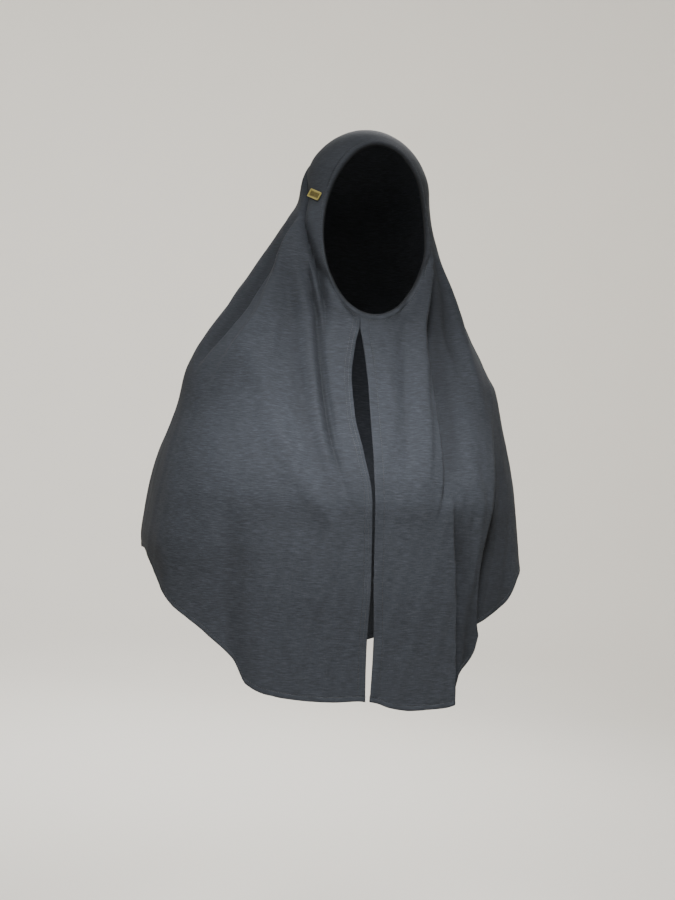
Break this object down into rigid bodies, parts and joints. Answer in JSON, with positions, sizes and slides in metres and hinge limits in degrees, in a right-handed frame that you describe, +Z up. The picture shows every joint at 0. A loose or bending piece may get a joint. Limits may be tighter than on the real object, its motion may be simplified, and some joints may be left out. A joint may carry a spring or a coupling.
{
  "type": "instant hijab",
  "caption": "Pull-on hood with an oval face opening, sewn under the chin, that falls in folds over the shoulders as a cape with a front slit and a curved lower edge.",
  "frame": {"origin": "top of the hood's inside, on the crown's vertical, where the hood sits on a head", "axes": "+Z up along the hanging cloth, -Y the way the wearer faces, +X the wearer's left"},
  "size_m": [0.4819, 0.307, 0.6998],
  "materials": {
    "jersey": "matte slate grey crepe jersey",
    "face_binding": "matte slate grey, turned and stitched",
    "slit_facing_right": "matte slate grey, turned and stitched",
    "slit_facing_left": "matte slate grey, turned and stitched",
    "hem_binding": "matte slate grey, turned and stitched",
    "label_metal": "satin aged brass, blank"
  },
  "bodies": {
    "root": {"veil": "jersey", "face_band": "face_binding", "slit_hem_right": "slit_facing_right", "slit_hem_left": "slit_facing_left", "bottom_hem": "hem_binding", "label_plate": "label_metal"}
  },
  "joints": []
}
